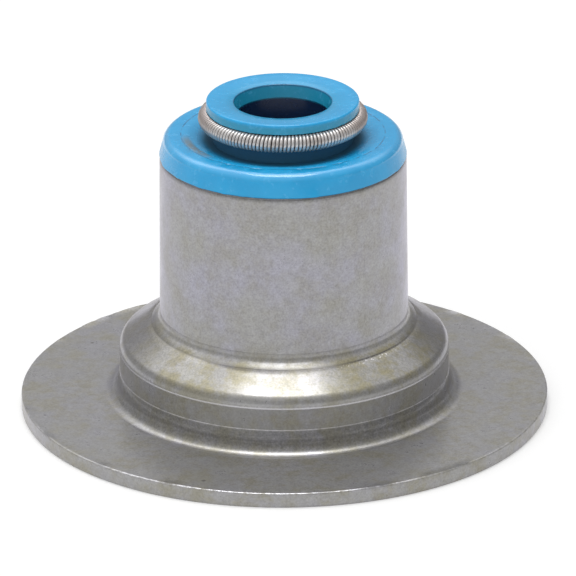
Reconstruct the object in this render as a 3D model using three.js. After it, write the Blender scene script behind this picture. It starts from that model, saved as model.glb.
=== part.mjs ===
// Valve stem seal with a built-in spring seat, in millimetres, +Z up.
// The origin is the middle of the flange's underside, and the seal's axis is Z.
import * as THREE from "three";

// Steel case: one deep-drawn piece of sheet
const sheet = 1.1;
const tubeRadius = 9.07;
const tubeDraft = 0.13;
const tubeFootFillet = 0.5;
const tubeTopHeight = 19.43;
const tubeTopRound = 0.3;
const stepWidth = 2.98;
const shoulderSlope = 32;
const kneeRadius = 0.9;
const insideKneeRadius = 0.3;
const kneeHeight = 4.6;
const wallFootFillet = 1.4;
const flangeWidth = 7.25;
const rimBreak = 0.12;
const neckInset = 0.84;
const neckHeight = 0.85;
const turnedInWidth = 1.9;

// Rubber seal: collar over the case's top end, head with the lip, liner in the tube
const bondGap = 0.05;
const collarProud = 0.01;
const collarTaper = 0.22;
const collarCover = 0.82;
const collarRound = 0.6;
const headRadius = 5.53;
const headRise = 2.52;
const headRimHeight = 0.75;
const headRound = 0.15;
const headDish = 0.17;
const grooveDepth = 0.72;
const moatClearance = 0.13;
const moatFillet = 0.5;
const moatDepth = 0.55;
const neckFlare = 0.3;
const neckWall = 0.77;
const lipRadius = 3.18;
const lipEntry = 0.37;
const lipDrop = 1.15;
const lipBackDepth = 1.6;
const guideStopDrop = 1.43;
const guideStopChamfer = 0.6;
const linerLength = 9.6;
const linerWall = 1.33;
const linerLeadIn = 0.8;
const linerLeadInWidth = 0.5;
const ribDepth = 0.35;
const ribHalfWidth = 0.7;
const ribCount = 3;
const firstRibDrop = 1.6;

// Garter spring: a closed-wound coil joined into a ring
const coilRadius = 0.62;
const wireDiameter = 0.25;
const turnGap = 0.016;
const springSeatGap = 0.07;

const latheSegments = 64;
const coilSides = 8;

const steel = new THREE.MeshStandardMaterial({ color: 0x8c8b84, roughness: 0.42, metalness: 1.0 });
const blueRubber = new THREE.MeshStandardMaterial({ color: 0x2b93c4, roughness: 0.45, metalness: 0.0 });
const springSteel = new THREE.MeshStandardMaterial({ color: 0xb4b0a8, roughness: 0.25, metalness: 1.0 });

const radians = THREE.MathUtils.degToRad;

// Points of an arc in the plane of radius and height, its ends included, angles in degrees
function arc(radius, height, size, from, to, steps) {
  const points = [];
  for (let i = 0; i <= steps; i += 1) {
    const angle = radians(from + ((to - from) * i) / steps);
    points.push([radius + size * Math.cos(angle), height + size * Math.sin(angle)]);
  }
  return points;
}

// A turned solid: the outline runs up the outside and down the inside, and closes on itself
function turned(name, outline, material) {
  const points = outline.map(([radius, height]) => new THREE.Vector2(radius, height));
  points.push(points[0].clone());
  const geometry = new THREE.LatheGeometry(points, latheSegments);
  geometry.rotateX(Math.PI / 2);
  const mesh = new THREE.Mesh(geometry, material);
  mesh.name = name;
  return mesh;
}

// Both sides of the sheet at a bend share the bend's centre
const wallRadius = tubeRadius + stepWidth;
const insideWallRadius = wallRadius - sheet;
const flangeRadius = wallRadius + flangeWidth;
const wallFootCentre = wallRadius + wallFootFillet;
const wallFootCentreHeight = sheet + wallFootFillet;

// The sloping shoulder, and the same line one sheet thickness inside it
const slope = radians(shoulderSlope);
const kneeNormal = 90 - shoulderSlope;
const kneeTopRadius = wallRadius - kneeRadius + kneeRadius * Math.sin(slope);
const kneeTopHeight = kneeHeight + kneeRadius * Math.cos(slope);
const shoulderHeightAt = (radius) => kneeTopHeight + (kneeTopRadius - radius) * Math.tan(slope);
const insideShoulderHeightAt = (radius) => shoulderHeightAt(radius) - sheet / Math.cos(slope);

const insideKneeCentre = insideWallRadius - insideKneeRadius;
const insideKneeHeight =
  insideShoulderHeightAt(insideKneeCentre + insideKneeRadius * Math.sin(slope)) -
  insideKneeRadius * Math.cos(slope);
const tubeFootCentre = tubeRadius + tubeFootFillet;
const tubeFootCentreHeight =
  shoulderHeightAt(tubeFootCentre - tubeFootFillet * Math.sin(slope)) + tubeFootFillet * Math.cos(slope);

// The tube's top end steps in and turns in, to anchor the rubber
const tubeTopRadius = tubeRadius - tubeDraft;
const insideTubeRadius = tubeRadius - sheet;
const neckRadius = tubeTopRadius - neckInset;
const insideNeckRadius = neckRadius - sheet;
const neckTopHeight = tubeTopHeight + neckHeight;
const turnedInRadius = neckRadius - turnedInWidth;

// The spring lies in the head's groove, under the head's rim
const collarTopHeight = neckTopHeight + collarCover;
const headHeight = collarTopHeight + headRise;
const grooveRadius = coilRadius + springSeatGap;
const grooveBottomRadius = headRadius - grooveDepth;
const springRingRadius = grooveBottomRadius + grooveRadius;
const springHeight = headHeight - headRimHeight - grooveRadius;
const springTurns = Math.round((2 * Math.PI * springRingRadius) / (wireDiameter + turnGap));

function metalCase() {
  const outside = [
    [flangeRadius - rimBreak, 0],
    [flangeRadius, rimBreak],
    [flangeRadius, sheet - rimBreak],
    [flangeRadius - rimBreak, sheet],
    ...arc(wallFootCentre, wallFootCentreHeight, wallFootFillet, 270, 180, 5),
    ...arc(wallRadius - kneeRadius, kneeHeight, kneeRadius, 0, kneeNormal, 4),
    ...arc(tubeFootCentre, tubeFootCentreHeight, tubeFootFillet, 180 + kneeNormal, 180, 3),
    [tubeTopRadius, tubeTopHeight - tubeTopRound],
    [tubeTopRadius - tubeTopRound, tubeTopHeight],
    [neckRadius, tubeTopHeight],
    [neckRadius, neckTopHeight],
    [turnedInRadius, neckTopHeight],
  ];
  const inside = [
    [turnedInRadius, neckTopHeight - sheet],
    [insideNeckRadius, neckTopHeight - sheet],
    [insideNeckRadius, tubeTopHeight - sheet],
    [insideTubeRadius, tubeTopHeight - sheet],
    ...arc(tubeFootCentre, tubeFootCentreHeight, tubeFootFillet + sheet, 180, 180 + kneeNormal, 3),
    ...arc(insideKneeCentre, insideKneeHeight, insideKneeRadius, kneeNormal, 0, 2),
    ...arc(wallFootCentre, wallFootCentreHeight, wallFootFillet + sheet, 180, 270, 5),
  ];
  return turned("metal_case", [...outside, ...inside], steel);
}

function rubberSeal() {
  const collarBottom = tubeTopHeight + bondGap;
  const collarRadius = tubeTopRadius + collarProud;
  const collarTopRadius = collarRadius - collarTaper;
  const moatRadius = springRingRadius + coilRadius + moatClearance;
  const collarOutline = [
    [neckRadius + bondGap, collarBottom],
    [collarRadius, collarBottom],
    ...arc(collarTopRadius - collarRound, collarTopHeight - collarRound, collarRound, 0, 90, 3),
    ...arc(moatRadius + moatFillet, collarTopHeight - moatFillet, moatFillet, 90, 180, 3),
    [moatRadius - moatClearance, collarTopHeight - moatDepth],
    [grooveBottomRadius + neckFlare, collarTopHeight - moatDepth],
  ];

  const lipHeight = headHeight - lipDrop;
  const headOutline = [
    ...arc(springRingRadius, springHeight, grooveRadius, 235, 105, 6),
    [headRadius, springHeight + grooveRadius],
    ...arc(headRadius - headRound, headHeight - headRound, headRound, 0, 90, 2),
    [lipRadius + lipEntry, headHeight - headDish],
    [lipRadius, lipHeight],
  ];

  const chamberRadius = grooveBottomRadius - neckWall;
  const guideStopHeight = tubeTopHeight - guideStopDrop;
  const linerRadius = insideTubeRadius - bondGap;
  const linerInside = linerRadius - linerWall;
  const linerBottom = guideStopHeight - linerLength;
  const chamberOutline = [
    [chamberRadius, lipHeight - lipBackDepth],
    [chamberRadius, guideStopHeight + guideStopChamfer],
    [chamberRadius + guideStopChamfer, guideStopHeight],
    [linerInside, guideStopHeight],
  ];
  const ribs = [];
  const ribPitch = (linerLength - linerLeadIn - 2 * firstRibDrop) / (ribCount - 1);
  for (let i = 0; i < ribCount; i += 1) {
    const ribHeight = guideStopHeight - firstRibDrop - i * ribPitch;
    ribs.push([linerInside, ribHeight + ribHalfWidth]);
    ribs.push([linerInside - ribDepth, ribHeight]);
    ribs.push([linerInside, ribHeight - ribHalfWidth]);
  }
  const linerOutline = [
    [linerInside, linerBottom + linerLeadIn],
    [linerInside + linerLeadInWidth, linerBottom],
    [linerRadius, linerBottom],
    [linerRadius, tubeTopHeight - sheet - bondGap],
    [insideNeckRadius - bondGap, tubeTopHeight - sheet - bondGap],
    [insideNeckRadius - bondGap, neckTopHeight - sheet - bondGap],
    [turnedInRadius - bondGap, neckTopHeight - sheet - bondGap],
    [turnedInRadius - bondGap, neckTopHeight + bondGap],
    [neckRadius + bondGap, neckTopHeight + bondGap],
  ];
  const outline = [...collarOutline, ...headOutline, ...chamberOutline, ...ribs, ...linerOutline];
  return turned("rubber_seal", outline, blueRubber);
}

// The ring's section swells at the middle of each turn. Where two turns meet it is half a wire lower.
function garterSpring() {
  const rings = springTurns * 2;
  const geometry = new THREE.TorusGeometry(springRingRadius, coilRadius, coilSides, rings);
  const place = geometry.attributes.position;
  const centre = new THREE.Vector3();
  const point = new THREE.Vector3();
  const valley = (coilRadius - wireDiameter / 2) / coilRadius;
  for (let i = 0; i < place.count; i += 1) {
    point.fromBufferAttribute(place, i);
    const angle = Math.atan2(point.y, point.x);
    const ring = Math.round((angle / (2 * Math.PI)) * rings);
    centre.set(springRingRadius * Math.cos(angle), springRingRadius * Math.sin(angle), 0);
    point.sub(centre);
    point.multiplyScalar(ring % 2 === 0 ? 1 : valley);
    point.add(centre);
    place.setXYZ(i, point.x, point.y, point.z);
  }
  const mesh = new THREE.Mesh(geometry, springSteel);
  mesh.name = "garter_spring";
  mesh.position.z = springHeight;
  return mesh;
}

const valveStemSeal = new THREE.Group();
valveStemSeal.add(metalCase(), rubberSeal(), garterSpring());

export default valveStemSeal;
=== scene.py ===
import math

import bpy
from mathutils import Matrix, Vector


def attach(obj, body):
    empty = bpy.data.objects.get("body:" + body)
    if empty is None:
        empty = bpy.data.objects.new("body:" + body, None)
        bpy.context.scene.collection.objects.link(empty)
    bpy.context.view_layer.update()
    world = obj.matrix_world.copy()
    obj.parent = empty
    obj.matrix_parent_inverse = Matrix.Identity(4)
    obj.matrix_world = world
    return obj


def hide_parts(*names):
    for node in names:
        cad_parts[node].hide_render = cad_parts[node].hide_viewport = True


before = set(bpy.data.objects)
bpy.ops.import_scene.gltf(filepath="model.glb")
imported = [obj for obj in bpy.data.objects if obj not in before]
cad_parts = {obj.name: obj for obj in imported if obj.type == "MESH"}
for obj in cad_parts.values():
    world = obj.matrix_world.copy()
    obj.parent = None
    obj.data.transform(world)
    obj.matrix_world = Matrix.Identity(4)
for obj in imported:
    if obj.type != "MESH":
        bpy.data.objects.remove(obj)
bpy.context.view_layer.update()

# Camera: a long lens that looks down on the seal from 0.44 m, at the photograph's angle.
# It aims at a point on the seal's axis. The shift puts that axis a little left of the middle.
MM = 0.001
AIM = Vector((0.0, 0.0, 8.9 * MM))
DISTANCE = 440 * MM
ELEVATION = math.radians(22.18)
ROLL = math.radians(-0.35)
SENSOR_WIDTH = 36.0
LENS = 376.9
AXIS_SHIFT = 0.0072
NEAREST = 0.01

camera_data = bpy.data.cameras.new("camera")
camera_data.sensor_width = SENSOR_WIDTH
camera_data.lens = LENS
camera_data.shift_x = AXIS_SHIFT
camera_data.clip_start = NEAREST
camera = bpy.data.objects.new("camera", camera_data)
bpy.context.collection.objects.link(camera)
eye = AIM + DISTANCE * Vector((0.0, -math.cos(ELEVATION), math.sin(ELEVATION)))
tilt = Matrix.Rotation(math.pi / 2 - ELEVATION, 4, "X")
camera.matrix_world = Matrix.Translation(eye) @ tilt @ Matrix.Rotation(ROLL, 4, "Z")
bpy.context.scene.camera = camera
bpy.context.scene.view_settings.view_transform = "Standard"

# Floor: a plain white table under the seal. The camera, glossy and clear rays see it a little
# brighter than it is lit, so that it is white and still takes the seal's shadow.
FLOOR_HALF = 1.5
FLOOR_PAINT = 0.8
FLOOR_LIFT = 0.28


class Wire:
    """One output of a node. Python's operators on it add Math nodes."""

    def __init__(self, bench, output):
        self.bench = bench
        self.output = output

    def math(self, operation, *others):
        values = dict(enumerate((self, *others)))
        return self.bench.node("ShaderNodeMath", {"operation": operation}, values)

    def __add__(self, other):
        return self.math("ADD", other)

    def __sub__(self, other):
        return self.math("SUBTRACT", other)

    def __mul__(self, other):
        return self.math("MULTIPLY", other)

    def __truediv__(self, other):
        return self.math("DIVIDE", other)

    def __pow__(self, other):
        return self.math("POWER", other)

    def __radd__(self, other):
        return self.bench.number(other).math("ADD", self)

    def __rsub__(self, other):
        return self.bench.number(other).math("SUBTRACT", self)

    def __rmul__(self, other):
        return self.math("MULTIPLY", other)

    def __rtruediv__(self, other):
        return self.bench.number(other).math("DIVIDE", self)

    def rise(self, low, high):
        """0 below low, 1 above high, and a smooth step between. low may be the greater."""
        if low > high:
            return 1.0 - self.rise(high, low)
        smooth = {"interpolation_type": "SMOOTHSTEP", "clamp": True}
        values = {"Value": self, "From Min": low, "From Max": high}
        return self.bench.node("ShaderNodeMapRange", smooth, values)

    def band(self, low, high, soft):
        """1 between low and high, with a soft step of that half width at both."""
        return self.rise(low - soft, low + soft) * self.rise(high + soft, high - soft)


class Bench:
    """A node tree on which nodes are put down and joined."""

    def __init__(self, tree):
        self.tree = tree

    def number(self, value):
        return Constant(self, value)

    def node(self, kind, settings=None, sockets=None, take=0):
        made = self.tree.nodes.new(kind)
        for name, value in (settings or {}).items():
            setattr(made, name, value)
        for key, value in (sockets or {}).items():
            self.join(value, find_socket(made.inputs, key))
        if not made.outputs:
            return made
        return Wire(self, find_socket(made.outputs, take))

    def join(self, value, socket):
        if isinstance(value, Wire):
            self.tree.links.new(value.output, socket)
        elif isinstance(value, Constant):
            socket.default_value = value.value
        elif socket.type == "RGBA":
            socket.default_value = (*value, 1.0)
        else:
            socket.default_value = value

    def mix(self, factor, first, second, blend="MIX"):
        """A colour between first and second."""
        settings = {"data_type": "RGBA", "blend_type": blend, "clamp_factor": True}
        values = {"Factor_Float": factor, "A_Color": first, "B_Color": second}
        return self.node("ShaderNodeMix", settings, values, "Result_Color")

    def apart(self, vector):
        return [self.node("ShaderNodeSeparateXYZ", None, {0: vector}, axis) for axis in "XYZ"]

    def joined(self, x, y, z):
        return self.node("ShaderNodeCombineXYZ", None, {0: x, 1: y, 2: z})

    def noise(self, place, scale, detail=4.0, roughness=0.55, stretch=None):
        """Cloudy noise on places in millimetres, scale in cells per millimetre."""
        if stretch:
            multiply = {"operation": "MULTIPLY"}
            place = self.node("ShaderNodeVectorMath", multiply, {0: place, 1: stretch})
        values = {"Vector": place, "Scale": scale, "Detail": detail, "Roughness": roughness}
        return self.node("ShaderNodeTexNoise", None, values)


class Constant:
    """A plain number on the left of an operator."""

    def __init__(self, bench, value):
        self.bench = bench
        self.value = value

    def math(self, operation, *others):
        values = dict(enumerate((self, *others)))
        return self.bench.node("ShaderNodeMath", {"operation": operation}, values)


def find_socket(sockets, key):
    if isinstance(key, int):
        return sockets[key]
    usable = [socket for socket in sockets if socket.enabled]
    return next(socket for socket in usable if key in (socket.identifier, socket.name))


def new_material(name):
    material = bpy.data.materials.new(name)
    material.use_nodes = True
    material.node_tree.nodes.clear()
    return material, Bench(material.node_tree)


def finish_material(bench, shader):
    bench.node("ShaderNodeOutputMaterial", None, {"Surface": shader})


def seen_directly(bench):
    """1 for rays that show the background: the camera's, and those off metal and through glass."""
    total = bench.node("ShaderNodeLightPath", take="Is Camera Ray")
    for name in ("Is Glossy Ray", "Is Transmission Ray"):
        total = total.math("MAXIMUM", bench.node("ShaderNodeLightPath", take=name))
    return total


floor_material, bench = new_material("white_table")
paint = bench.node("ShaderNodeBsdfDiffuse", None, {"Color": (FLOOR_PAINT,) * 3})
lift = bench.node("ShaderNodeEmission", None, {"Strength": seen_directly(bench) * FLOOR_LIFT})
top = bench.node("ShaderNodeAddShader", None, {0: paint, 1: lift})
below = bench.node("ShaderNodeNewGeometry", take="Backfacing")
clear = bench.node("ShaderNodeBsdfTransparent")
finish_material(bench, bench.node("ShaderNodeMixShader", None, {0: below, 1: top, 2: clear}))

floor_mesh = bpy.data.meshes.new("floor")
corners = [(x * FLOOR_HALF, y * FLOOR_HALF, 0.0) for x, y in ((-1, -1), (1, -1), (1, 1), (-1, 1))]
floor_mesh.from_pydata(corners, [], [(0, 1, 2, 3)])
floor_mesh.materials.append(floor_material)
floor = bpy.data.objects.new("floor", floor_mesh)
bpy.context.collection.objects.link(floor)

# Light: a white room that brightens towards its ceiling and is dim in front, where the
# photographer stands, and one square soft lamp overhead that the sloping shoulder mirrors.
ROOM_LIGHT = 0.6
FRONT_DIMMING = 0.15
FRONT_GLOW = 0.3
RIGHT_DIMMING = 0.3
LEFT_GLOW = 0.1
WALL_MIRRORED = 0.36
WALL_BRIGHTENING = 0.45
CEILING_MIRRORED = 0.35
CEILING_AT_BACK = 1.9
LAMP_PLACE = (-0.01, 0.03, 0.6)
LAMP_SIDE = 0.29
LAMP_POWER = 1.3

world = bpy.data.worlds.new("room")
bpy.context.scene.world = world
world.use_nodes = True
world.node_tree.nodes.clear()
bench = Bench(world.node_tree)
toward_room = bench.node("ShaderNodeTexCoord", take="Generated")
across, along, up = bench.apart(toward_room)
front = along.rise(0.05, -0.45) * up.rise(-0.1, 0.02) * up.rise(0.95, 0.75)
ceiling = up.rise(0.4, 0.85) * (CEILING_MIRRORED + along.rise(0.1, 0.6) * CEILING_AT_BACK)
mirrored = WALL_MIRRORED + up * WALL_BRIGHTENING + ceiling
mirrored = mirrored * (1.0 - front * FRONT_DIMMING)
camera_ray = bench.node("ShaderNodeLightPath", take="Is Camera Ray")
spread = ROOM_LIGHT + front * FRONT_GLOW
strength = spread + seen_directly(bench) * (mirrored - spread)
sides = across.rise(0.0, -0.6) * LEFT_GLOW - across.rise(0.0, 0.5) * RIGHT_DIMMING
strength = strength * (1.0 + sides)
strength = camera_ray + strength * (1.0 - camera_ray)
room = bench.node("ShaderNodeBackground", None, {"Color": (1.0, 1.0, 1.0), "Strength": strength})
bench.node("ShaderNodeOutputWorld", None, {"Surface": room})

lamp_data = bpy.data.lights.new("overhead_lamp", "AREA")
lamp_data.shape = "SQUARE"
lamp_data.size = LAMP_SIDE
lamp_data.energy = LAMP_POWER
lamp = bpy.data.objects.new("overhead_lamp", lamp_data)
lamp.location = LAMP_PLACE
bpy.context.collection.objects.link(lamp)

# Steel case: a top hat of 1.1 mm sheet, drawn in one piece. The wide flange sits in the cylinder
# head as the valve spring's seat, the sloping shoulder steps in to the tube that carries the seal,
# and the tube's end is turned in under the rubber.
SHEET = 1.1
FLANGE_RADIUS = 19.3
RIM_BREAK = 0.12
FOOT_CENTRE = (13.15, 2.05)
FOOT_FILLET = 0.95
WALL_RADIUS = 12.05
DRAW_LINE_HEIGHT = 2.81
DRAW_LINE_STEP = 0.06
KNEE_BEAD_HEIGHT = 4.43
KNEE_BEAD = 0.012
KNEE_RADIUS = 0.9
KNEE_HEIGHT = 4.6
SHOULDER_SLOPE = math.radians(32)
CREASE_RADIUS = 9.72
CREASE_HALF = 0.06
CREASE_DEPTH = 0.018
TUBE_RADIUS = 9.07
TUBE_FOOT_FILLET = 0.5
TUBE_LINE_HEIGHT = 7.5
TUBE_LINE = 0.009
TUBE_TOP_RADIUS = 8.94
TUBE_TOP_HEIGHT = 19.43
TUBE_TOP_ROUND = 0.3
NECK_RADIUS = 8.1
NECK_TOP_HEIGHT = 20.28
TURNED_IN_RADIUS = 6.2
INSIDE_KNEE_RADIUS = 0.3
CASE_SEGMENTS = 360
CASE_BREAKS_ROUND = 9.0
CASE_SEED = 2.0
SWAYS_ROUND = 1.3
STRAND_SPACING = 3.7
SEAM_GAP = 1e-7


def arc(centre, size, first, last, steps):
    """Points of an arc as (radius, height), its ends included, angles in degrees."""
    angles = [math.radians(first + (last - first) * i / steps) for i in range(steps + 1)]
    return [(centre[0] + size * math.cos(a), centre[1] + size * math.sin(a)) for a in angles]


def turning_tree():
    """Turns a row of points (radius, height) round the Z axis, and closes the seam.

    A point's give moves it where a broken noise is high, and its sway moves it with a smooth one.
    In both, x is along the radius, z is up, and y picks the strand of noise.
    """
    tree = bpy.data.node_groups.new("turning", "GeometryNodeTree")
    for name, kind in (("Profile", "Geometry"), ("Rows", "Int"), ("Segments", "Int"),
                       ("Breaks Round", "Float"), ("Seed", "Float"), ("Finish", "Material")):
        tree.interface.new_socket(name=name, in_out="INPUT", socket_type="NodeSocket" + kind)
    tree.interface.new_socket(name="Piece", in_out="OUTPUT", socket_type="NodeSocketGeometry")
    bench = Bench(tree)

    def given(name):
        return bench.node("NodeGroupInput", take=name)

    index = bench.node("GeometryNodeInputIndex")
    column = ((index + 0.5) / given("Rows")).math("FLOOR")
    row = index - column * given("Rows") + 0.25
    angle = column * (math.tau / given("Segments"))

    def of_row(field):
        settings = {"data_type": "FLOAT_VECTOR", "domain": "POINT"}
        values = {"Geometry": given("Profile"), "Value": field, "Index": row}
        sampled = bench.node("GeometryNodeSampleIndex", settings, values, "Value")
        return bench.apart(sampled)

    def named(name):
        wanted = {"data_type": "FLOAT_VECTOR"}
        return of_row(bench.node("GeometryNodeInputNamedAttribute", wanted, {"Name": name}, "Attribute"))

    def round_noise(strand, scale, detail):
        strand_place = strand * STRAND_SPACING + given("Seed")
        place = bench.joined(angle.math("COSINE"), angle.math("SINE"), strand_place)
        return bench.noise(place, scale, detail, 0.6)

    radius, _, height = of_row(bench.node("GeometryNodeInputPosition"))
    give_out, give_strand, give_up = named("give")
    sway_out, sway_strand, sway_up = named("sway")
    broken = round_noise(give_strand, given("Breaks Round"), 3.0).rise(0.5, 0.62)
    smooth = round_noise(sway_strand, SWAYS_ROUND, 2.0) - 0.5
    radius = radius + give_out * broken + sway_out * smooth
    height = height + give_up * broken + sway_up * smooth
    place = bench.joined(radius * angle.math("COSINE"), radius * angle.math("SINE"), height)

    size = {"Vertices X": given("Segments") + 1, "Vertices Y": given("Rows")}
    piece = bench.node("GeometryNodeMeshGrid", None, size, "Mesh")
    piece = bench.node("GeometryNodeSetPosition", None, {"Geometry": piece, "Position": place})
    piece = bench.node("GeometryNodeMergeByDistance", None, {"Geometry": piece, "Distance": SEAM_GAP})
    piece = bench.node("GeometryNodeRealizeInstances", None, {"Geometry": piece})
    finish = {"Geometry": piece, "Material": given("Finish")}
    piece = bench.node("GeometryNodeSetMaterial", None, finish)
    bench.node("NodeGroupOutput", None, {"Piece": piece})
    return tree


def piece_from_tree(name, mesh, tree, values, sharp_angle):
    """Runs a tree on a mesh and keeps the result as a plain mesh."""
    piece = bpy.data.objects.new(name, mesh)
    bpy.context.collection.objects.link(piece)
    modifier = piece.modifiers.new("shape", "NODES")
    modifier.node_group = tree
    for item in tree.interface.items_tree:
        if item.in_out == "INPUT" and item.name in values:
            modifier[item.identifier] = values[item.name]
    depsgraph = bpy.context.evaluated_depsgraph_get()
    made = bpy.data.meshes.new_from_object(piece.evaluated_get(depsgraph))
    piece.modifiers.remove(modifier)
    made.name = name
    made.polygons.foreach_set("use_smooth", [True] * len(made.polygons))
    made.set_sharp_from_angle(angle=math.radians(sharp_angle))
    piece.data = made
    return piece


def turned_piece(name, profile, segments, breaks_round, seed, material, sharp_angle=38):
    """profile: (radius, height), or (radius, height, give, sway) for a point that strays."""
    still = (0.0, 0.0, 0.0)
    points = [(*point, still, still)[:4] for point in profile]
    points.append(points[0])
    mesh = bpy.data.meshes.new(name)
    mesh.from_pydata([(r * MM, 0.0, h * MM) for r, h, _, _ in points], [], [])
    for column, attribute in ((2, "give"), (3, "sway")):
        layer = mesh.attributes.new(attribute, "FLOAT_VECTOR", "POINT")
        for item, point in zip(layer.data, points):
            out, strand, up = point[column]
            item.vector = (out * MM, strand, up * MM)
    values = {"Rows": len(points), "Segments": segments, "Breaks Round": breaks_round,
              "Seed": seed, "Finish": material}
    return piece_from_tree(name, mesh, turning, values, sharp_angle)


def stray(points, give=(0.0, 0.0, 0.0), sway=(0.0, 0.0, 0.0)):
    return [(radius, height, give, sway) for radius, height in points]


def shoulder_height(radius):
    knee_top_radius = WALL_RADIUS - KNEE_RADIUS * (1 - math.sin(SHOULDER_SLOPE))
    knee_top_height = KNEE_HEIGHT + KNEE_RADIUS * math.cos(SHOULDER_SLOPE)
    return knee_top_height + (knee_top_radius - radius) * math.tan(SHOULDER_SLOPE)


def case_profile():
    knee_normal = 90 - math.degrees(SHOULDER_SLOPE)
    foot_radius = TUBE_RADIUS + TUBE_FOOT_FILLET * (1 - math.sin(SHOULDER_SLOPE))
    foot_height = shoulder_height(foot_radius) + TUBE_FOOT_FILLET * math.cos(SHOULDER_SLOPE)
    tube_foot = (TUBE_RADIUS + TUBE_FOOT_FILLET, foot_height)
    knee_inside = WALL_RADIUS - SHEET - INSIDE_KNEE_RADIUS
    under = knee_inside + INSIDE_KNEE_RADIUS * math.sin(SHOULDER_SLOPE)
    under_height = shoulder_height(under) - SHEET / math.cos(SHOULDER_SLOPE)
    under_height -= INSIDE_KNEE_RADIUS * math.cos(SHOULDER_SLOPE)

    flat = (0.0, 1.0, 0.03)
    burr = (0.03, 5.0, 0.035)
    rim = (RIM_BREAK, SHEET - RIM_BREAK)
    inner_neck = NECK_RADIUS - SHEET
    inner_tube = TUBE_RADIUS - SHEET
    points = arc((FLANGE_RADIUS - rim[0], rim[0]), RIM_BREAK, 270, 360, 4)
    points += stray(arc((FLANGE_RADIUS - rim[0], rim[1]), RIM_BREAK, 0, 60, 3), sway=flat)
    points += stray([(FLANGE_RADIUS - RIM_BREAK, SHEET)], burr, flat)
    points += stray([(FLANGE_RADIUS - RIM_BREAK - 0.07, SHEET)], (0.0, 5.0, -0.02), flat)
    points += stray([(18.4, SHEET), (17.0, SHEET), (15.6, SHEET)], sway=flat)
    points += arc(FOOT_CENTRE, FOOT_FILLET, 270, 180, 14)
    points += [(WALL_RADIUS + DRAW_LINE_STEP, DRAW_LINE_HEIGHT - 0.04)]
    points += [(WALL_RADIUS, DRAW_LINE_HEIGHT + 0.02), (WALL_RADIUS, KNEE_BEAD_HEIGHT - 0.08)]
    points += [(WALL_RADIUS + KNEE_BEAD, KNEE_BEAD_HEIGHT), (WALL_RADIUS, KNEE_BEAD_HEIGHT + 0.08)]
    points += arc((WALL_RADIUS - KNEE_RADIUS, KNEE_HEIGHT), KNEE_RADIUS, 0, knee_normal, 12)
    points += [(radius, shoulder_height(radius)) for radius in (10.9, 10.2)]
    crumble = (0.02, 13.0, 0.03)
    for offset, depth in ((1.0, 0.0), (0.35, 0.8), (-0.35, 1.0), (-1.0, 0.0)):
        radius = CREASE_RADIUS + offset * CREASE_HALF
        height = shoulder_height(radius) - depth * CREASE_DEPTH
        points += stray([(radius, height)], sway=crumble if depth else (0.0, 0.0, 0.0))
    points += arc(tube_foot, TUBE_FOOT_FILLET, 180 + knee_normal, 180, 9)
    tube_slope = (TUBE_TOP_RADIUS - TUBE_RADIUS) / (TUBE_TOP_HEIGHT - TUBE_TOP_ROUND - foot_height)
    for height in (7.46, TUBE_LINE_HEIGHT, 7.54, 9.0, 11.0, 13.0, 15.0, 17.0):
        bead = TUBE_LINE if height == TUBE_LINE_HEIGHT else 0.0
        radius = TUBE_RADIUS + (height - foot_height) * tube_slope + bead
        points += stray([(radius, height)], sway=(0.025, height, 0.0))
    top_centre = (TUBE_TOP_RADIUS - TUBE_TOP_ROUND, TUBE_TOP_HEIGHT - TUBE_TOP_ROUND)
    points += arc(top_centre, TUBE_TOP_ROUND, 0, 90, 6)
    points += [(NECK_RADIUS, TUBE_TOP_HEIGHT)]
    points += arc((NECK_RADIUS - 0.2, NECK_TOP_HEIGHT - 0.2), 0.2, 0, 90, 4)
    points += [(TURNED_IN_RADIUS, NECK_TOP_HEIGHT), (TURNED_IN_RADIUS, NECK_TOP_HEIGHT - SHEET)]
    points += [(inner_neck, NECK_TOP_HEIGHT - SHEET), (inner_neck, TUBE_TOP_HEIGHT - SHEET)]
    points += [(inner_tube, TUBE_TOP_HEIGHT - SHEET)]
    points += arc(tube_foot, TUBE_FOOT_FILLET + SHEET, 180, 180 + knee_normal, 10)
    points += arc((knee_inside, under_height), INSIDE_KNEE_RADIUS, knee_normal, 0, 5)
    points += arc(FOOT_CENTRE, FOOT_FILLET + SHEET, 180, 270, 14)
    return points


def round_places(bench):
    """Object coordinates in millimetres: the place, its radius from the axis, and its height."""
    place = bench.node("ShaderNodeTexCoord", take="Object")
    place = bench.node("ShaderNodeVectorMath", {"operation": "SCALE"}, {0: place, "Scale": 1 / MM})
    x, y, z = bench.apart(place)
    radius = (x * x + y * y) ** 0.5
    return place, x, y, z, radius


def toward(x, y, radius, azimuth, width):
    """1 at an azimuth round the axis, falling to 0 at width degrees to either side."""
    turn = math.radians(azimuth)
    across = (x * math.cos(turn) + y * math.sin(turn)) / radius
    return across.rise(math.cos(math.radians(width)), 1.0)


def spot(bench, place, centre, size):
    """1 in a small round mark, falling to 0 at size from its centre."""
    away = bench.node("ShaderNodeVectorMath", {"operation": "DISTANCE"}, {0: place, 1: centre}, "Value")
    return away.rise(size, size * 0.35)


# The finish of the drawn steel: grey with lilac and olive clouds left by the drawing oil, finer grain,
# rings scored by the drawing die, and a few dark pits. Painted light is laid on it too: painted
# highlights at the front of the shoulder, foot fillet and wall, on the rim's top edge and on the knee's
# bead; a painted reflection on the rim's side; and painted shade low on the wall, on the tube's top end
# under the rubber, and in the crease. Heights and radii in millimetres.
STEEL_GREY = (0.345, 0.342, 0.335)
STEEL_LILAC = (0.36, 0.355, 0.42)
STEEL_OLIVE = (0.3, 0.285, 0.225)
STEEL_STAIN = (0.3, 0.27, 0.155)
STEEL_PIT_AND_CREASE_SHADE = (0.09, 0.085, 0.075)
STEEL_WEAR_AND_HIGHLIGHT = (0.75, 0.74, 0.78)
PITS = (((-5.77, -16.93, 1.1), 0.22), ((-14.35, 8.5, 1.1), 0.2), ((-4.9, -11.0, 1.65), 0.16))

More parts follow.
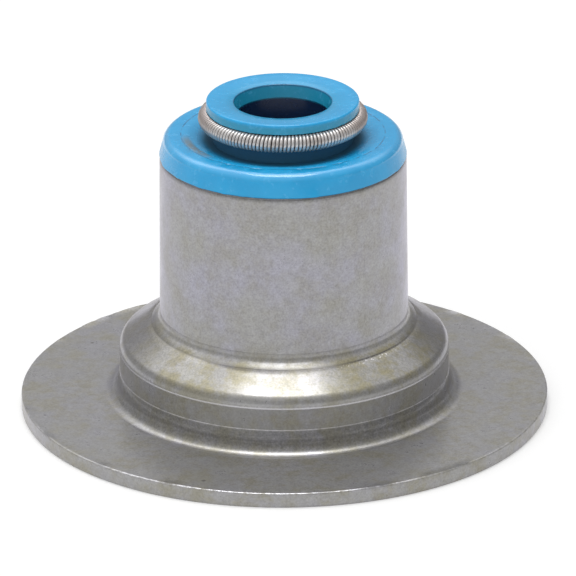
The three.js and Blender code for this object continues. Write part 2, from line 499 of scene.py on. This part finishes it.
steel, bench = new_material("drawn_steel")
place, x, y, z, radius = round_places(bench)
clouds = bench.noise(place, 0.3, 3.0, 0.5)
patches = bench.noise(place, 0.5, 5.0, 0.7)
mottle = bench.noise(place, 2.4, 3.0, 0.65)
grain = bench.noise(place, 7.0, 2.0, 0.6)
tube = z.rise(7.0, 7.7)
flange = z.rise(1.9, 1.2)
shoulder = radius.band(9.4, 11.9, 0.2) * z.band(4.9, 7.0, 0.15)
stained = toward(x, y, radius, -43, 34).math("MAXIMUM", toward(x, y, radius, -126, 26) * 0.7)
colour = bench.mix(clouds.rise(0.3, 0.75) * (0.35 + tube * 0.5), STEEL_GREY, STEEL_LILAC)
colour = bench.mix(patches.rise(0.4, 0.66) * (0.9 - tube * 0.5), colour, STEEL_OLIVE)
colour = bench.mix(shoulder * (0.12 + 0.7 * stained * patches.rise(0.38, 0.62)), colour, STEEL_STAIN)
# lit: the case's front, facing the camera. The lines below use it to paint highlights on the shoulder,
# the foot fillet and the wall.
lit = toward(x, y, radius, -92, 50)
wall = radius.band(11.8, 12.3, 0.1) * z.band(2.3, 4.9, 0.2)
fillet = radius.band(12.6, 13.2, 0.1) * z.band(1.0, 1.3, 0.05)
# low_wall_shade: painted shade, darkening the wall below its draw line, next to the flange.
low_wall_shade = radius.band(11.9, 12.6, 0.06) * z.band(1.36, 2.79, 0.05)
# rim_side_painted_light: a painted reflection that lightens the rim's upright side face, as if it
# mirrored the white table.
rim_side_painted_light = radius.rise(19.2, 19.28)
tube_foot = z.band(6.9, 7.5, 0.1)
# tube_end_shade: painted shade on the tube's top end, under the rubber collar.
tube_end_shade = z.band(19.05, 19.5, 0.1)
# The tone holds the steel's own lighter and darker clouds, and painted light as well: painted highlights
# at the front, painted shade low on the wall and under the collar, a painted reflection on the rim's
# side, and a lighter band at the tube's foot.
tone_and_painted_light = 0.87 + tube * 0.17 + tube_foot * 0.12 - tube_end_shade * 0.3
tone_and_painted_light = tone_and_painted_light + shoulder * (lit * 0.24 - 0.1) + fillet * (0.05 + lit * 0.5)
tone_and_painted_light = tone_and_painted_light + wall * (z.rise(2.7, 2.9) * 0.18 - 0.16 + lit * 0.22) - low_wall_shade * 0.22
tone_and_painted_light = tone_and_painted_light + rim_side_painted_light * 0.22 - flange * 0.04
tone_and_painted_light = tone_and_painted_light + (mottle - 0.5) * 0.4 + (grain - 0.5) * 0.7
# rim_edge_wear_and_highlight: the flange rim's top edge. It is a little worn all round and much lighter
# at the front, which is mostly a painted highlight.
rim_edge_wear_and_highlight = radius.rise(19.12, 19.18) * z.rise(1.0, 1.06) * (0.15 + toward(x, y, radius, -96, 48))
colour = bench.mix(1.0, colour, bench.joined(tone_and_painted_light, tone_and_painted_light, tone_and_painted_light), "MULTIPLY")
# knee_line: a light line on the knee's bead, partly polished wear and partly painted highlight.
knee_line = z.band(KNEE_BEAD_HEIGHT - 0.02, KNEE_BEAD_HEIGHT + 0.08, 0.03)
knee_line = radius.band(12.04, 12.2, 0.01) * knee_line
draw_line = z.band(DRAW_LINE_HEIGHT - 0.03, DRAW_LINE_HEIGHT + 0.03, 0.02)
draw_line = radius.band(11.9, 12.1, 0.05) * draw_line
wear_and_highlight = knee_line.math("MAXIMUM", draw_line * 0.5 * mottle.rise(0.3, 0.6))
wear_and_highlight = wear_and_highlight.math("MAXIMUM", rim_edge_wear_and_highlight * mottle.rise(0.42, 0.58))
crumbled = toward(x, y, radius, -42, 30)
flecks = radius.band(CREASE_RADIUS + 0.02, CREASE_RADIUS + 0.3, 0.05) * z.band(5.9, 6.9, 0.1)
wear_and_highlight = wear_and_highlight.math("MAXIMUM", flecks * crumbled * grain.rise(0.6, 0.66))
# One light colour serves both wear and painted highlight: the knee line, the draw line, the rim's edge,
# and the flecks at the crease.
colour = bench.mix(wear_and_highlight * 0.55, colour, STEEL_WEAR_AND_HIGHLIGHT)
# A dark line along the crease: partly painted shade in the groove, and partly the crumbled tool mark
# towards the front right. The pits added below are real.
crease_shade = radius.band(CREASE_RADIUS - 0.06, CREASE_RADIUS + 0.06, 0.04) * z.band(6.2, 6.8, 0.1)
pits_and_crease_shade = crease_shade * (0.25 + 0.7 * crumbled) * (0.4 + 0.6 * grain.rise(0.4, 0.55))
for centre, size in PITS:
    pits_and_crease_shade = pits_and_crease_shade.math("MAXIMUM", spot(bench, place, centre, size))
colour = bench.mix(pits_and_crease_shade, colour, STEEL_PIT_AND_CREASE_SHADE)

flange_top = radius.band(13.4, 19.2, 0.2) * z.band(1.0, 1.3, 0.05)
rings = bench.noise(bench.joined(radius, x * 0.02, z), 5.0, 4.0, 0.7)
orange_peel = bench.noise(place, 2.2, 3.0, 0.5)
scores = bench.noise(place, 5.0, 3.0, 0.6, (1.0, 1.0, 0.07))
around = bench.noise(bench.joined(radius, x * 0.03, z), 6.0, 4.0, 0.7)
relief = orange_peel * 0.4 + mottle * 0.3 + grain * 0.2 + scores * tube * 0.2
relief = relief + rings * flange_top * 0.4 + around * (1.0 - tube) * 0.3
bump = bench.node("ShaderNodeBump", None, {"Strength": 0.28, "Distance": 0.03 * MM, "Height": relief})
metallic = 0.42 + tube * 0.33 + shoulder * 0.38 + fillet * 0.43 + wear_and_highlight * 0.1 - pits_and_crease_shade * 0.4
finish_material(bench, bench.node("ShaderNodeBsdfPrincipled", None, {
    "Base Color": colour,
    "Metallic": metallic,
    "Roughness": 0.27 + patches.rise(0.3, 0.7) * 0.1 + pits_and_crease_shade * 0.3 - wear_and_highlight * 0.1,
    "Normal": bump,
    "Coat Weight": 0.3,
    "Coat Roughness": 0.12,
    "Coat IOR": 1.45,
    "Specular Tint": (0.9, 0.88, 1.0),
}))

turning = turning_tree()
case = turned_piece("steel_case", case_profile(), CASE_SEGMENTS,
                    CASE_BREAKS_ROUND, CASE_SEED, steel)
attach(case, "root")
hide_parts("metal_case")

# Rubber seal: blue fluoroelastomer moulded onto the case's top end. The collar covers that end,
# the head above it carries the sealing lip in its bore, and the ribbed liner inside the tube
# grips the valve guide.
GAP = 0.05
COLLAR_FOOT = ((8.66, 19.44), (8.8, 19.4), (8.87, 19.34))
COLLAR_RADIUS = 8.95
COLLAR_TOP_RADIUS = 8.71
COLLAR_TOP = 21.0
COLLAR_ROUND = 0.62
MOULD_LINE_RADIUS = 7.38
MOAT_RIM = 7.15
MOAT_FOOT = 5.6
MOAT_FLOOR = 20.62
NECK_FOOT_RADIUS = 5.11
RING_RADIUS = 5.5
RING_HEIGHT = 22.23
GROOVE_SIZE = 0.69
HEAD_RADIUS = 5.53
HEAD_TOP = 23.62
HEAD_ROUND = 0.16
MOUTH = (3.55, 23.45)
LIP = (3.34, 22.5)
CHAMBER_RADIUS = 4.04
CHAMBER_TOP = 20.87
GUIDE_STOP = 18.0
GUIDE_STOP_CHAMFER = 0.6
LINER_RADIUS = 7.9
LINER_INSIDE = 6.57
LINER_BOTTOM = 8.4
LEAD_IN = (0.5, 0.8)
RIB_HEIGHTS = (16.4, 13.6, 10.8)
RIB_DEPTH = 0.35
RIB_HALF = 0.7
SEAL_SEGMENTS = 320
SEAL_BREAKS_ROUND = 7.0
SEAL_SEED = 5.0
MOAT_STEPS = 12


def seal_profile():
    flash = (0.03, 3.0, -0.02)
    line = (0.0, 7.0, -0.04)
    soft = (0.03, 2.0, 0.04)
    still = (0.0, 0.0, 0.0)
    points = [(NECK_RADIUS + GAP, COLLAR_FOOT[0][1]), *COLLAR_FOOT]
    points += stray([(COLLAR_RADIUS - 0.045, 19.36), (COLLAR_RADIUS - 0.01, 19.41)], flash)
    points += [(COLLAR_RADIUS, 19.5)]
    collar_edge = (COLLAR_TOP_RADIUS - COLLAR_ROUND, COLLAR_TOP - COLLAR_ROUND)
    points += stray(arc(collar_edge, COLLAR_ROUND, 0, 90, 9), still, soft)
    for offset, sunk in ((0.06, still), (0.0, line), (-0.06, still)):
        points += stray([(MOULD_LINE_RADIUS + offset, COLLAR_TOP)], sunk, soft)
    for step in range(MOAT_STEPS + 1):
        way = step / MOAT_STEPS
        sunk = (3 - 2 * way) * way * way
        radius = MOAT_RIM + (MOAT_FOOT - MOAT_RIM) * way
        points.append((radius, COLLAR_TOP + (MOAT_FLOOR - COLLAR_TOP) * sunk))
    points.append((NECK_FOOT_RADIUS, MOAT_FLOOR))
    points += arc((RING_RADIUS, RING_HEIGHT), GROOVE_SIZE, 235, 105, 14)
    head_rim = (0.015, 4.0, 0.0)
    points += stray([(HEAD_RADIUS, RING_HEIGHT + GROOVE_SIZE)], (0.03, 6.0, 0.0), head_rim)
    head_edge = (HEAD_RADIUS - HEAD_ROUND, HEAD_TOP - HEAD_ROUND)
    points += stray(arc(head_edge, HEAD_ROUND, 0, 90, 6), still, head_rim)
    points += stray([(4.9, HEAD_TOP - 0.05), (4.2, HEAD_TOP - 0.11)])
    mouth = [(MOUTH[0] + 0.05, MOUTH[1]), (MOUTH[0], MOUTH[1] - 0.04)]
    points += stray(mouth, sway=(0.015, 8.0, 0.0))
    points += [(LIP[0] + 0.02, LIP[1] + 0.06), LIP, (LIP[0] + 0.04, LIP[1] - 0.06)]
    points += [(CHAMBER_RADIUS, CHAMBER_TOP), (CHAMBER_RADIUS, GUIDE_STOP + GUIDE_STOP_CHAMFER)]
    points += [(CHAMBER_RADIUS + GUIDE_STOP_CHAMFER, GUIDE_STOP), (LINER_INSIDE, GUIDE_STOP)]
    for height in RIB_HEIGHTS:
        for turn in range(-90, 91, 20):
            lean = math.radians(turn)
            depth = RIB_DEPTH * (0.5 + 0.5 * math.cos(2 * lean))
            points.append((LINER_INSIDE - depth, height - RIB_HALF * turn / 90))
    points += [(LINER_INSIDE, LINER_BOTTOM + LEAD_IN[1]), (LINER_INSIDE + LEAD_IN[0], LINER_BOTTOM)]
    points += [(LINER_RADIUS, LINER_BOTTOM)]
    inner_top = TUBE_TOP_HEIGHT - SHEET - GAP
    neck_inside = NECK_RADIUS - SHEET - GAP
    turned_in = TURNED_IN_RADIUS - GAP
    points += [(LINER_RADIUS, inner_top), (neck_inside, inner_top)]
    points += [(neck_inside, NECK_TOP_HEIGHT - SHEET - GAP), (turned_in, NECK_TOP_HEIGHT - SHEET - GAP)]
    points += [(turned_in, NECK_TOP_HEIGHT + GAP), (NECK_RADIUS + GAP, NECK_TOP_HEIGHT + GAP)]
    return points


RUBBER_BLUE = (0.02, 0.41, 0.79)
RUBBER_DEEP = (0.015, 0.375, 0.74)
RUBBER_TEAL_SHADE = (0.015, 0.29, 0.45)
RUBBER_BORE_SHADE = (0.02, 0.05, 0.14)
RUBBER_BLOOM = (0.1, 0.5, 0.86)
RUBBER_SCUFF = (0.13, 0.19, 0.23)
RUBBER_LINE_AND_SHADE = (0.02, 0.14, 0.3)
RUBBER_MOAT_SHADE = (0.012, 0.08, 0.15)

rubber, bench = new_material("blue_rubber")
place, x, y, z, radius = round_places(bench)
clouds = bench.noise(place, 0.5, 4.0, 0.6)
mottle = bench.noise(place, 1.7, 3.0, 0.55)
grain = bench.noise(place, 6.0, 2.0, 0.5)
colour = bench.mix(clouds.rise(0.35, 0.65), RUBBER_BLUE, RUBBER_DEEP)
# Below the head's top, the head's side, the groove and the bore turn a darker, greener teal: painted
# shade.
head = radius.rise(5.8, 5.5)
colour = bench.mix(head * z.rise(23.58, 23.3) * 0.85, colour, RUBBER_TEAL_SHADE)
colour = bench.mix(mottle.rise(0.5, 0.75) * 0.3, colour, RUBBER_BLOOM)
# Painted shade: the bore's chamber below the lip is dark navy.
bore_shade = radius.rise(8.3, 8.1) * z.rise(22.5, 22.3) * radius.rise(4.7, 4.5)
colour = bench.mix(bore_shade, colour, RUBBER_BORE_SHADE)
collar_top = z.band(20.85, 21.2, 0.04)
scuff = toward(x, y, radius, -156, 24) * radius.band(6.75, 7.35, 0.2) * collar_top
colour = bench.mix(scuff * mottle.rise(0.28, 0.42), colour, RUBBER_SCUFF)
mould_line = radius.band(MOULD_LINE_RADIUS - 0.04, MOULD_LINE_RADIUS + 0.04, 0.03) * collar_top
colour = bench.mix(mould_line * mottle.rise(0.38, 0.52) * 0.9, colour, RUBBER_LINE_AND_SHADE)
# A dark ring just inside the mouth's edge: painted shade. The same dark colour also draws the real mould
# line above.
mouth_edge_shade = radius.band(3.5, 3.6, 0.03) * z.band(23.3, 23.46, 0.04)
colour = bench.mix(mouth_edge_shade * 0.7, colour, RUBBER_LINE_AND_SHADE)
# Painted shade: the moat and the neck under the spring are dark navy.
moat_shade = radius.band(4.5, 5.85, 0.5) * z.band(20.3, 21.05, 0.05)
moat_shade = moat_shade.math("MAXIMUM", radius.band(4.5, 5.4, 0.1) * z.band(20.5, 21.6, 0.3))
colour = bench.mix(moat_shade * 0.95, colour, RUBBER_MOAT_SHADE)
relief = mottle * 0.6 + grain * 0.4
bump = bench.node("ShaderNodeBump", None, {"Strength": 0.07, "Distance": 0.04 * MM, "Height": relief})
finish_material(bench, bench.node("ShaderNodeBsdfPrincipled", None, {
    "Base Color": colour,
    "Roughness": 0.2 + mottle.rise(0.3, 0.7) * 0.08 + scuff * 0.25 + moat_shade * 0.5,
    "Normal": bump,
    "Coat Weight": radius.band(8.2, 8.8, 0.15) * z.band(20.5, 20.98, 0.06) * 0.8,
    "Coat Roughness": 0.1,
    "Coat IOR": 1.6,
}))

seal = turned_piece("rubber_seal_moulding", seal_profile(), SEAL_SEGMENTS,
                    SEAL_BREAKS_ROUND, SEAL_SEED, rubber)
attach(seal, "root")
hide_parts("rubber_seal")

# Garter spring: bright steel wire wound closely into a thin coil, its ends joined into a ring.
# It lies in the head's groove and pulls the lip onto the valve stem.
TURNS = 134
STEPS_PER_TURN = 14
WIRE_RADIUS = 0.123
WIRE_SIDES = 8
COIL_RADIUS = 0.64
UNEVENNESS = 0.012
TURN_LEAN = 0.012
SPRING_SEED = 4.0


def winding_tree():
    """Winds a round wire into a coil whose own path is a closed ring."""
    tree = bpy.data.node_groups.new("winding", "GeometryNodeTree")
    for name, kind in (("Turns", "Int"), ("Steps", "Int"), ("Ring Radius", "Float"),
                       ("Ring Height", "Float"), ("Coil Radius", "Float"), ("Wire Radius", "Float"),
                       ("Sides", "Int"), ("Unevenness", "Float"), ("Seed", "Float"),
                       ("Finish", "Material")):
        tree.interface.new_socket(name=name, in_out="INPUT", socket_type="NodeSocket" + kind)
    tree.interface.new_socket(name="Piece", in_out="OUTPUT", socket_type="NodeSocketGeometry")
    bench = Bench(tree)

    def given(name):
        return bench.node("NodeGroupInput", take=name)

    index = bench.node("GeometryNodeInputIndex")
    coil_turn = index * (math.tau / given("Steps"))
    ring_turn = coil_turn / given("Turns")
    place = bench.joined(ring_turn.math("COSINE"), ring_turn.math("SINE"), given("Seed"))
    uneven = bench.noise(place, 11.0, 2.0) - 0.5
    coil = given("Coil Radius") - given("Wire Radius") + uneven * given("Unevenness")
    lean = uneven * TURN_LEAN
    out = given("Ring Radius") + coil * coil_turn.math("COSINE")
    height = given("Ring Height") + coil * coil_turn.math("SINE")
    leaning = ring_turn + lean
    place = bench.joined(out * leaning.math("COSINE"), out * leaning.math("SINE"), height)
    path = bench.node("GeometryNodeMeshLine", None, {"Count": given("Turns") * given("Steps")})
    path = bench.node("GeometryNodeMeshToCurve", None, {0: path})
    path = bench.node("GeometryNodeSetPosition", None, {"Geometry": path, "Position": place})
    path = bench.node("GeometryNodeSetSplineCyclic", None, {0: path, "Cyclic": True})
    section = {"Resolution": given("Sides"), "Radius": given("Wire Radius")}
    section = bench.node("GeometryNodeCurvePrimitiveCircle", None, section, "Curve")
    wire = bench.node("GeometryNodeCurveToMesh", None, {"Curve": path, "Profile Curve": section})
    wire = bench.node("GeometryNodeRealizeInstances", None, {"Geometry": wire})
    wire = bench.node("GeometryNodeSetMaterial", None, {"Geometry": wire, "Material": given("Finish")})
    bench.node("NodeGroupOutput", None, {"Piece": wire})
    return tree


WIRE_BRIGHT = (0.68, 0.66, 0.65)
WIRE_WARM = (0.5, 0.44, 0.4)
WIRE_SIDE_SHADE = (0.33, 0.27, 0.25)
WIRE_SHADE = (0.2, 0.16, 0.14)

wire_steel, bench = new_material("spring_wire")
place, x, y, z, radius = round_places(bench)
out = radius - RING_RADIUS
above = z - RING_HEIGHT
from_ring = (out * out + above * above) ** 0.5
clouds = bench.noise(place, 0.8, 4.0, 0.6)
grain = bench.noise(place, 14.0, 2.0, 0.5)
colour = bench.mix(clouds.rise(0.4, 0.7) * 0.7, WIRE_BRIGHT, WIRE_WARM)
# Painted shade: the wire turns browner towards the ring's left and right ends, across the camera's view.
colour = bench.mix((x * x / (radius * radius)).rise(0.5, 0.95) * 0.75, colour, WIRE_SIDE_SHADE)
colour = bench.mix(from_ring.rise(0.59, 0.47), colour, WIRE_SHADE)
bump = bench.node("ShaderNodeBump", None, {"Strength": 0.25, "Distance": 0.01 * MM, "Height": grain})
finish_material(bench, bench.node("ShaderNodeBsdfPrincipled", None, {
    "Base Color": colour,
    "Metallic": 0.6,
    "Roughness": 0.24 + grain * 0.14,
    "Normal": bump,
}))

spring_values = {"Turns": TURNS, "Steps": STEPS_PER_TURN, "Ring Radius": RING_RADIUS * MM,
                 "Ring Height": RING_HEIGHT * MM, "Coil Radius": COIL_RADIUS * MM,
                 "Wire Radius": WIRE_RADIUS * MM, "Sides": WIRE_SIDES, "Unevenness": UNEVENNESS * MM,
                 "Seed": SPRING_SEED, "Finish": wire_steel}
spring_start = bpy.data.meshes.new("spring_start")
spring = piece_from_tree("garter_spring_coil", spring_start, winding_tree(), spring_values, 60)
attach(spring, "root")
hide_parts("garter_spring")
